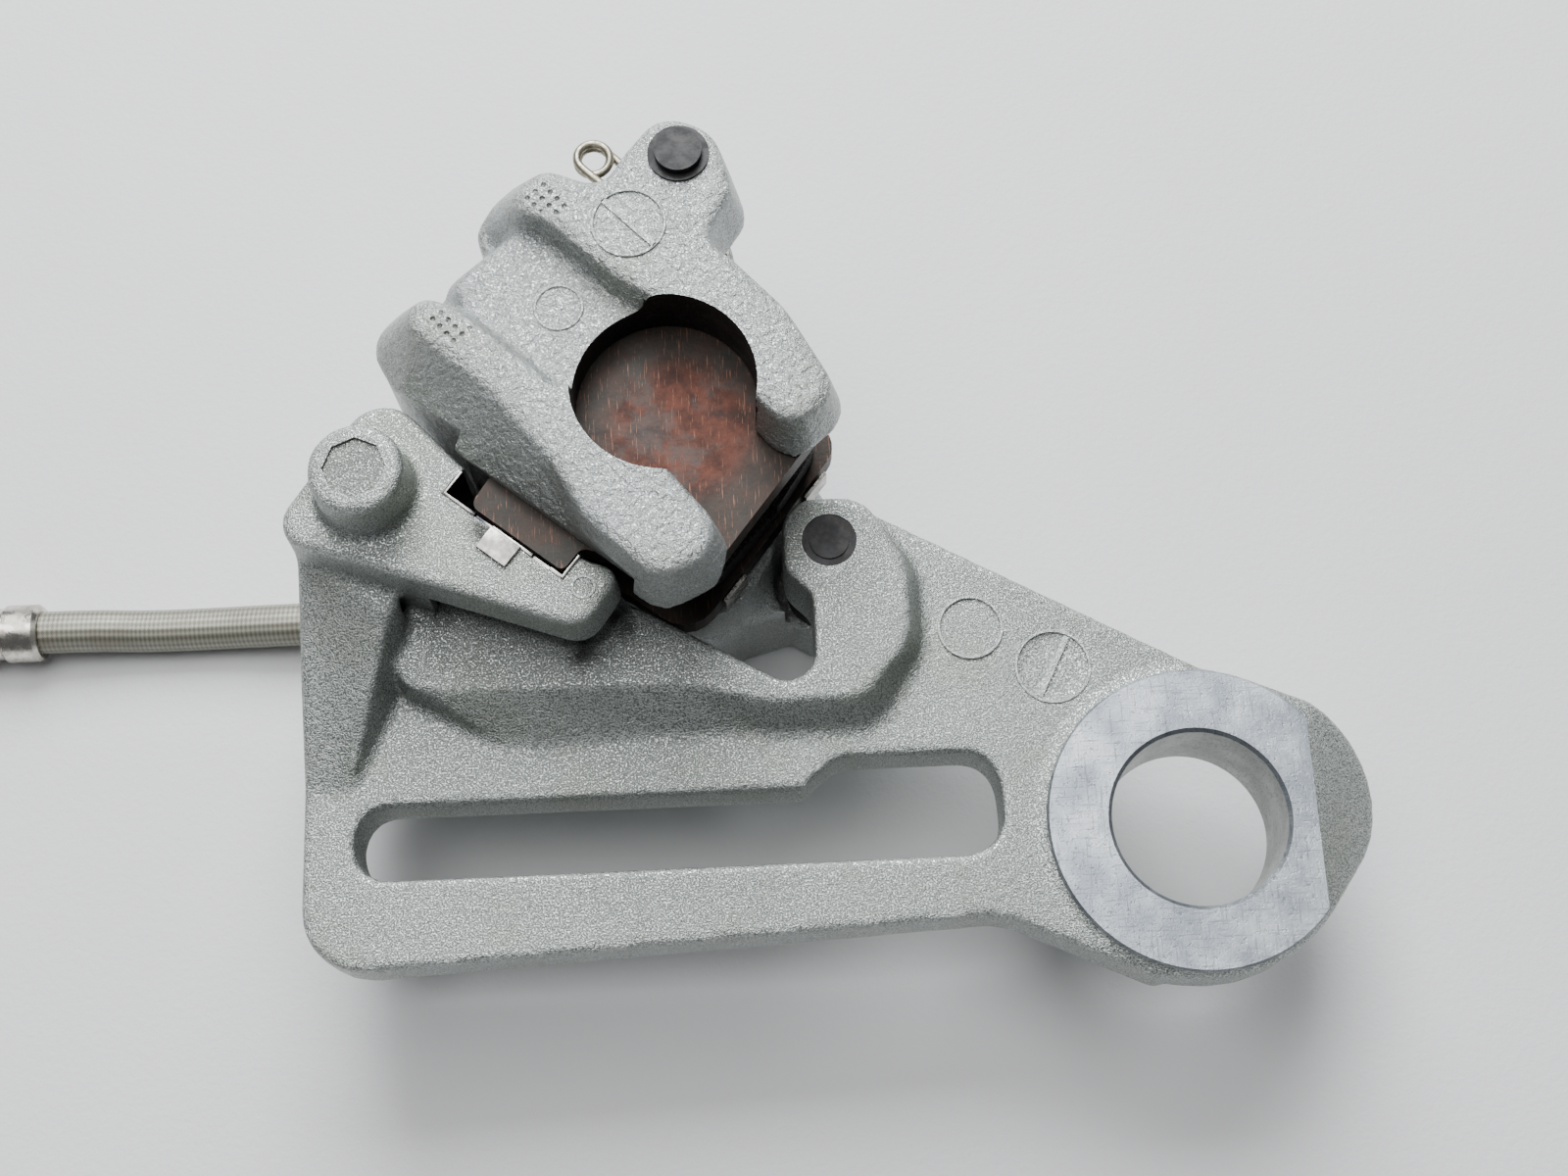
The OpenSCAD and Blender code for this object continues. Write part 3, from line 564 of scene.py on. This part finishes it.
bm = copy_of("carrier_bracket")
bracket = link_piece("bracket_casting", bm)
bm = bmesh.new()
block(bm, (-140, -40, plate_top + 0.05), (40, 80, 40))
combine(bracket, bm, "DIFFERENCE", "EXACT")
bm = bmesh.new()
bm.from_mesh(bracket.data)
loft(bm, rounded(shoulder_foot), rounded(shoulder_top), -1.0, shoulder_h)
loft(bm, rounded(arm_foot), rounded(arm_head), -9.0, arm_top)
loft(bm, rounded(gusset_foot), rounded(gusset_head), -1.0, arm_top - 7.5)
disc(bm, 7.9, -9.0, boss_top, (boss_at.x / mm, boss_at.y / mm), r_top=6.6)
disc(bm, ring_r, -9.0, ring_z - 0.4)
disc(bm, 14.0, -14.0, ring_z - 0.4)
bmesh.ops.recalc_face_normals(bm, faces=bm.faces)
bm.to_mesh(bracket.data)
bm.free()
cast(bracket, 0.55, 9)

# the eye's face, the foundry's ring and the bar of the date disc stand proud
bm = bmesh.new()
spun(bm, [(0, -3), (ring_r, -3), (ring_r, ring_z - 0.3), (ring_r - 0.3, ring_z), (0, ring_z)],
     steps=128, closed=False)
combine(bracket, bm, "UNION")
bm = bmesh.new()
spun(bm, [(0, -16), (12.5, -16), (12.5, ring_z - 0.5), (13.15, ring_z + 0.1), (0, ring_z + 0.1)],
     steps=128, closed=False)
combine(bracket, bm, "DIFFERENCE")
bm = bmesh.new()
facet = block(bm, (0, -40, 0), (30, 40, 20))
facet_foot = Matrix.Translation((0.75 * ring_r * mm, 0, (ring_z - 0.4) * mm))
lean = facet_foot @ Matrix.Rotation(radians(36), 4, "Y")
bmesh.ops.transform(bm, matrix=lean, verts=facet)
combine(bracket, bm, "DIFFERENCE")
bm = bmesh.new()
disc(bm, pocket_r, shoulder_h, slot_top, sides=360)
combine(bracket, bm, "DIFFERENCE")
bm = bmesh.new()
channel = block(bm, (-28.9, -3.9, -11), (-8.9, 17.7, 21))
bmesh.ops.transform(bm, matrix=turned(P, pad_turn), verts=channel)
combine(bracket, bm, "DIFFERENCE")
bm = bmesh.new()
disc(bm, 4.02, -12, shoulder_h + 1, (hook_at.x / mm, hook_at.y / mm), sides=64)
combine(bracket, bm, "DIFFERENCE")

bm = bmesh.new()
for r, x, y, z, high in ((4.85, -30.5, 29.8, 0.0, 0.35), (5.6, -18.9, 23.4, 0.0, 0.15),
                         (1.8, -85.2, 32.3, arm_top, 0.12)):
    raised_rim(bm, r, 0.5, z - 0.4, z + high, (x, y))
bar = block(bm, (-0.45, -5.0, -0.6), (0.45, 5.0, 0.1))
bmesh.ops.transform(bm, matrix=turned(Vector((-18.9 * mm, 23.4 * mm)), -28), verts=bar)
combine(bracket, bm, "UNION")
bm = bmesh.new()
disc(bm, 4.3, boss_top - 0.45, boss_top + 1, (boss_at.x / mm, boss_at.y / mm), sides=8, r_top=4.6)
combine(bracket, bm, "DIFFERENCE")

casting = cast_aluminium("casting", 0.25, (0.17, 0.186, 0.178), (0.53, 0.562, 0.542), [
    ((px - 26, py - 17, 19), 5.5, 0.85),
    ((px - 8, py - 25, 6), 8.0, 0.9),
    ((px + 4, py - 27, 5), 8.0, 0.7),
    ((px - 14, py - 31, 6), 6.0, 0.9),
    ((px - 35, py - 26, 6), 6.0, 0.6),
])
eye_face = machined("worn_eye_face", (0.27, 0.30, 0.34), (0.50, 0.53, 0.56), 0.36, (3.0, 3.0, 3.0))
cut_metal = machined("cut_aluminium", (0.32, 0.33, 0.31), (0.48, 0.49, 0.47), 0.38, (0.3, 0.3, 8.0))


def paint(piece, index, chosen):
    """Gives the faces that a test picks one of the piece's materials."""
    for face in piece.data.polygons:
        if chosen(face.center / mm, face.normal):
            face.material_index = index


def in_eye(c, n):
    return c.z > ring_z - 0.35 and c.xy.length < ring_r + 0.1 and n.z > 0.5


def in_bore(c, n):
    return c.xy.length < 12.7 and abs(n.z) < 0.3


def within(outline, spot):
    """Is a point of the plan, in metres, inside an outline?"""
    inside = False
    for a, b in zip(outline, outline[1:] + outline[:1]):
        if (a.y > spot.y) != (b.y > spot.y) and spot.x < (b.x - a.x) * (spot.y - a.y) / (b.y - a.y) + a.x:
            inside = not inside
    return inside


arm_outline = rounded(arm_head)
# Near-black faces in the pocket under the arm: brake dust there, and painted shade of the pocket's unlit
# inside.
dust_and_pocket_shade, tree, shader = material("brake_dust_and_pocket_shade", 0.2, 0.8, 0.2)
tree.links.new(blended(tree, grain(tree, place(tree, 0.8)), (0.006, 0.006, 0.006), (0.03, 0.028, 0.025)),
               shader.inputs["Base Color"])
bumped(tree, shader, grain(tree, place(tree, 3.0)), 0.3, 0.00005)
bracket.data.materials.clear()
for mat in (casting, eye_face, cut_metal, dust_and_pocket_shade):
    bracket.data.materials.append(mat)
# painted shade and dust: faces between the shoulder and the arm's underside, inside the arm's outline
paint(bracket, 3, lambda c, n: shoulder_h - 0.3 < c.z < slot_top + 0.3 and within(arm_outline, c.xy * mm))
paint(bracket, 1, in_eye)
paint(bracket, 2, in_bore)
shaded(bracket, 38)
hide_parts("carrier_bracket")
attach(bracket, "carrier")

# ---- Caliper body ----------------------------------------------------------------------
# The second casting. Two fingers with a window over the piston reach round the disc from
# a bridge; the cylinder hangs below. Finger faces look hammered, the window is bored.
finger_z = 18.4
finger_top = 28.9
window_r = 13.0
right_foot = [(6.6, -9, 1), (6.8, -18.6, 5), (18.6, -18.8, 5), (21.6, -3, 14), (21.4, 8, 6),
              (20.3, 11.6, 3), (28.2, 13.6, 4), (32.6, 24, 7), (28.5, 33.2, 6), (18.5, 31.8, 4),
              (12.6, 30.6, 3), (9.2, 42, 4), (-2.8, 41.5, 5), (1.2, 30, 5), (3, 15, 4), (6, 5, 1)]
right_head = [(7.8, -9, 1), (8.0, -17.2, 4.5), (16.8, -17.4, 4), (19.8, -3, 12), (19.4, 7.5, 6),
              (18.6, 12.6, 3), (26.6, 15.4, 3), (31, 24.4, 6), (27.2, 31.6, 5), (19.9, 30.3, 3),
              (13.4, 28.4, 3), (9.3, 36, 3), (1.2, 35.4, 3), (4.3, 29, 4), (5.6, 17, 4), (8.4, 6, 1)]
left_foot = [(-6.9, -9, 1), (-6.8, -21.5, 5), (-12.5, -25, 4), (-21.4, -22.6, 5), (-22.6, -8, 10),
             (-26, 5, 10), (-27.6, 26, 6), (-25.5, 37, 5), (-15.2, 37.4, 5), (-10.5, 28, 5),
             (-9.3, 10, 3), (-6, 6, 1)]
left_head = [(-8, -9, 1), (-8.3, -20.4, 4.5), (-13, -23, 3.5), (-19.5, -20.8, 4), (-20.9, -8, 10),
             (-18.6, 4, 10), (-18.4, 17, 8), (-20.8, 31, 3), (-16.2, 32.5, 3), (-14, 27.5, 3),
             (-11.4, 9.5, 4), (-7.8, 7, 1)]
web_foot = [(-13, 5, 1), (7, 5, 1), (4, 36, 3), (-13, 36, 3)]
web_head = [(-12, 6, 1), (6, 6, 1), (3, 33, 3), (-12, 33, 3)]
in_fingers = turned(P, finger_turn)

body = link_piece("caliper_casting", copy_of("caliper_body"))
bm = bmesh.new()
block(bm, (-140, 0, finger_z + 0.1), (0, 140, 50))
combine(body, bm, "DIFFERENCE", "EXACT")
bm = bmesh.new()
bm.from_mesh(body.data)
shells = loft(bm, rounded(right_foot), rounded(right_head), finger_z, finger_top)
shells += loft(bm, rounded(left_foot), rounded(left_head), finger_z, finger_top)
shells += loft(bm, rounded(web_foot), rounded(web_head), finger_z, finger_z + 5.9)
bmesh.ops.transform(bm, matrix=in_fingers, verts=shells)
bmesh.ops.recalc_face_normals(bm, faces=bm.faces)
bm.to_mesh(body.data)
bm.free()
cast(body, 0.55, 10)

# bored window, pad-pin holes and the flank relieved past the bracket
bm = bmesh.new()
window = disc(bm, window_r, finger_z - 1, finger_top + 3, sides=128)
bmesh.ops.transform(bm, matrix=in_fingers, verts=window)
combine(body, bm, "DIFFERENCE")
bm = bmesh.new()
holes = disc(bm, 3.42, -30, finger_top - 4, (24.7, 24.7), sides=64)
holes += disc(bm, 4.42, finger_top - 5, finger_top + 3, (24.7, 24.7), sides=64)
bmesh.ops.transform(bm, matrix=in_fingers, verts=holes)
combine(body, bm, "DIFFERENCE")
bm = bmesh.new()
flank = block(bm, (-70, -13, -11.5), (-22.9, 20.5, 23.5))
flank += block(bm, (-70, 20.4, -11.5), (-20.6, 50, 23.5))
bmesh.ops.transform(bm, matrix=turned(P, pad_turn), verts=flank)
combine(body, bm, "DIFFERENCE")

# foundry marks: a clock circle with its bar, a plain circle, and two patches of dimples
bm = bmesh.new()
raised_rim(bm, 5.4, 0.5, finger_top - 0.6, finger_top + 0.25, (12.3, 21.3))
raised_rim(bm, 3.6, 0.45, finger_z + 5.3, finger_z + 6.1, (-2.4, 20.0))
bar = block(bm, (-5.2, -0.4, finger_top - 0.6), (5.2, 0.4, finger_top + 0.25))
bmesh.ops.transform(bm, matrix=turned(Vector((12.3 * mm, 21.3 * mm)), -86), verts=bar)
bmesh.ops.transform(bm, matrix=in_fingers, verts=bm.verts)
combine(body, bm, "UNION")
bm = bmesh.new()
for x0, y0 in ((4.4, 29.5), (-17.4, 24.0)):
    for column in range(3):
        for row in range(4):
            dot = bmesh.ops.create_icosphere(bm, subdivisions=2, radius=0.45 * mm)["verts"]
            at = Vector((x0 + 1.5 * column, y0 + 1.5 * row, finger_top + 0.15)) * mm
            bmesh.ops.translate(bm, verts=dot, vec=at)
bmesh.ops.transform(bm, matrix=in_fingers, verts=bm.verts)
combine(body, bm, "DIFFERENCE")

finger_cast = cast_aluminium("finger_casting", 0.22, (0.27, 0.285, 0.28), (0.50, 0.525, 0.52), [
    ((px - 14, py - 26, 19), 9.0, 0.8),
    ((px + 8, py - 10, 19), 10.0, 0.6),
    ((px - 2, py - 2, 24), 18.0, 0.25),
    ((px + 2.8, py + 34.8, 29), 7.5, 0.35),
], 0.55)
# The window's bored wall is painted near black: painted shade of the deep window that the fingers shade.
bored = machined("bored_window_painted_shade", (0.035, 0.034, 0.032), (0.09, 0.088, 0.08), 0.5, (0.3, 0.3, 5.0))
body.data.materials.clear()
for mat in (finger_cast, bored, cut_metal):
    body.data.materials.append(mat)
paint(body, 1, lambda c, n: (c.xy - Vector((px, py))).length < window_r + 0.2 and c.z > finger_z
      and abs(n.z) < 0.3)
shaded(body, 38)
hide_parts("caliper_body")
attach(body, "caliper")

# ---- Finishes of the small parts -------------------------------------------------------
# The pins are blackened steel, the clips spring steel, the pads' plates heat-tinted copper
# brown, kept dark partly as painted shade of the deep window, the fittings nickel plated.
# Their shapes are the CAD's own.


def steel(name, dark, light, metallic, rough, scale, dirt=0.3, dirt_tint=(0.1, 0.07, 0.04), specular=0.5):
    """Plated or oxidised metal, mottled, with dirt in patches."""
    mat, tree, shader = material(name, metallic, rough, specular)
    mottle = grain(tree, place(tree, scale), 4.0, 0.6, 0.3, 0.7)
    base = blended(tree, mottle, dark, light)
    patch = grain(tree, place(tree, 0.3), 4.0, 0.65, 0.52, 0.68)
    base = blended(tree, sums(tree, "MULTIPLY", patch, dirt), base, dirt_tint)
    tree.links.new(base, shader.inputs["Base Color"])
    tree.links.new(levels(tree, mottle, 0.0, 1.0, rough + 0.12, rough - 0.06), shader.inputs["Roughness"])
    bumped(tree, shader, grain(tree, place(tree, 3.0), 3.0), 0.25, 0.00004)
    return mat


black_steel = steel("black_oxide", (0.006, 0.0062, 0.007), (0.013, 0.013, 0.015), 0.0, 0.4, 0.5,
                    0.1, specular=0.22)
spring_steel = steel("spring_steel", (0.22, 0.21, 0.19), (0.48, 0.46, 0.43), 1.0, 0.28, 0.6, 0.6)
wire_steel = steel("clip_wire", (0.22, 0.2, 0.15), (0.42, 0.39, 0.31), 0.9, 0.36, 1.0, 0.4)
nickel = steel("nickel_plate", (0.46, 0.43, 0.38), (0.68, 0.65, 0.6), 1.0, 0.25, 0.5, 0.45)
copper = steel("washer_copper", (0.45, 0.22, 0.12), (0.7, 0.4, 0.25), 1.0, 0.35, 1.2, 0.2)
piston_steel = steel("piston_steel", (0.35, 0.35, 0.36), (0.5, 0.5, 0.5), 1.0, 0.2, 0.4, 0.1)

# Pad plates: heat-tinted copper brown, the base kept dark partly as painted shade of the window that the
# fingers shade.
coppered, tree, shader = material("coppered_plate", 0.25, 0.45, 0.15)
mottle = grain(tree, place(tree, 0.35), 5.0, 0.65, 0.3, 0.7)
base = blended(tree, mottle, (0.03, 0.0105, 0.007), (0.095, 0.03, 0.018))
patina = grain(tree, place(tree, 0.14, shift=(4, 9, 2)), 5.0, 0.7, 0.5, 0.66)
base = blended(tree, sums(tree, "MULTIPLY", patina, 0.5), base, (0.05, 0.058, 0.056))
soot = grain(tree, place(tree, 0.22, shift=(7, 1, 5)), 4.0, 0.6, 0.55, 0.75)
base = blended(tree, sums(tree, "MULTIPLY", soot, 0.7), base, (0.012, 0.009, 0.008))
# painted shade: darker towards the window's wall, where the fingers shade the plate, with some patina
window_edge_shade = near(tree, (px + 2, py - 3, 18.3), 14.0, 9.0, 3.0)
base = blended(tree, sums(tree, "MULTIPLY", window_edge_shade, 0.7), base, (0.03, 0.034, 0.031))
scratch = grain(tree, place(tree, (6.0, 0.3, 1.0), (0, 0, radians(50))), 3.0, 0.6, 0.62, 0.68)
base = blended(tree, sums(tree, "MULTIPLY", scratch, 0.5), base, (0.35, 0.17, 0.11))
tree.links.new(base, shader.inputs["Base Color"])
bumped(tree, shader, grain(tree, place(tree, 1.6), 5.0, 0.7), 0.45, 0.00008)

lining, tree, shader = material("friction_lining", 0.1, 0.85)
chips = tree.nodes.new("ShaderNodeTexVoronoi")
chips.inputs["Scale"].default_value = 1.0
tree.links.new(place(tree, 2.2), chips.inputs["Vector"])
tree.links.new(blended(tree, levels(tree, chips.outputs["Distance"], 0.1, 0.5), (0.10, 0.085, 0.07),
                       (0.018, 0.018, 0.019)), shader.inputs["Base Color"])
bumped(tree, shader, chips.outputs["Distance"], 0.5, 0.0001)

rubber, tree, shader = material("black_rubber", 0.0, 0.62, 0.35)
dusty = grain(tree, place(tree, 0.4), 4.0, 0.6, 0.45, 0.8)
tree.links.new(blended(tree, dusty, (0.012, 0.012, 0.012), (0.05, 0.048, 0.044)),
               shader.inputs["Base Color"])
bumped(tree, shader, grain(tree, place(tree, 2.5)), 0.3, 0.00005)

finishes = {
    "carrier_guide_pin": black_steel, "caliper_guide_pin": black_steel, "pad_pin": black_steel,
    "piston_pad_shim": spring_steel, "pad_spring": spring_steel, "piston": piston_steel,
    "piston_seal": rubber, "dust_seal": rubber,
    "piston_pad_plate": coppered, "wheel_pad_plate": coppered, "piston_pad_lining": lining,
    "wheel_pad_lining": lining, "bleed_screw": nickel, "bleed_cap": rubber, "banjo_bolt": nickel,
    "banjo_washers": copper, "banjo_fitting": nickel, "hose_ferrule_near": nickel,
    "hose_ferrule_far": nickel, "hose_end_eye": nickel}
for node, finish in finishes.items():
    nodes[node].data.materials.clear()
    nodes[node].data.materials.append(finish)

# ---- Spring clips ----------------------------------------------------------------------
# The abutment clip is one strip of stainless sheet pressed into the bracket's channel, its
# edges rolled bright and its tab blackened by dust. The pad pin's clip is bent spring wire.
clip_sheet = link_piece("abutment_clip", copy_of("pad_abutment_clip"))
step = clip_sheet.modifiers.new("rolled", "BEVEL")
step.width = 0.16 * mm
step.segments = 3
step.limit_method = "ANGLE"
step.angle_limit = radians(50)
apply_steps(clip_sheet)
tab_turn = Matrix.Rotation(radians(pad_turn), 4, "Z")
tab_spot = Matrix.Translation((px, py, 19.4)) @ tab_turn @ Vector((-27.7, 11.1, 0))
clip_steel, tree, shader = material("clip_steel", 1.0, 0.24)
tone = grain(tree, place(tree, 0.7), 4.0, 0.6, 0.35, 0.7)
base = blended(tree, tone, (0.20, 0.195, 0.185), (0.42, 0.41, 0.39))
base = blended(tree, near(tree, tab_spot, 1.5, 2.7, 0.6), base, (0.03, 0.032, 0.038))
tree.links.new(base, shader.inputs["Base Color"])
bumped(tree, shader, grain(tree, place(tree, 2.0)), 0.2, 0.00004)
clip_sheet.data.materials.append(clip_steel)
shaded(clip_sheet, 35)
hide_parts("pad_abutment_clip")
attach(clip_sheet, "carrier")

bm = copy_of("pad_pin_clip")
bmesh.ops.join_triangles(bm, faces=bm.faces, angle_face_threshold=radians(40),
                         angle_shape_threshold=radians(60))
pin_clip = link_piece("pad_pin_wire_clip", bm, wire_steel)
step = pin_clip.modifiers.new("round", "SUBSURF")
step.levels = 2
step.render_levels = 2
apply_steps(pin_clip)
shaded(pin_clip, 60)
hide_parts("pad_pin_clip")
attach(pin_clip, "caliper")

# ---- Rubber boots ----------------------------------------------------------------------
# Two moulded bellows of black rubber keep dirt off the guide pins. A lip at each end sits
# on the bracket's face and on the caliper's ear.


def bellows(name, node, at, pin_radius):
    """A round bellows between the two ends of its CAD solid."""
    lo, hi = (c.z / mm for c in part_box(node))
    folds = 3
    pitch = (hi - lo - 2.4) / folds
    inner = pin_radius + 0.4
    profile = [(inner, lo), (inner + 1.9, lo), (inner + 2.1, lo + 0.4), (inner + 1.9, lo + 0.9),
               (inner + 1.1, lo + 1.2)]
    for i in range(folds):
        z = lo + 1.2 + pitch * i
        profile += [(inner + 1.5, z + 0.18 * pitch), (inner + 2.1, z + 0.4 * pitch),
                    (inner + 2.2, z + 0.5 * pitch), (inner + 2.1, z + 0.6 * pitch),
                    (inner + 1.5, z + 0.82 * pitch), (inner + 1.1, z + pitch)]
    profile += [(inner + 1.9, hi - 0.9), (inner + 2.1, hi - 0.4), (inner + 1.9, hi), (inner, hi)]
    bm = bmesh.new()
    spun(bm, profile, (at.x / mm, at.y / mm), 56)
    bmesh.ops.recalc_face_normals(bm, faces=bm.faces)
    piece = shaded(link_piece(name, bm, rubber), 60)
    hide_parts(node)
    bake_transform(piece)
    return piece


guide_pin_r = 4.0
bellows("left_bellows", "guide_boot_left", boss_at, guide_pin_r)
bellows("right_bellows", "guide_boot_right", hook_at, guide_pin_r)
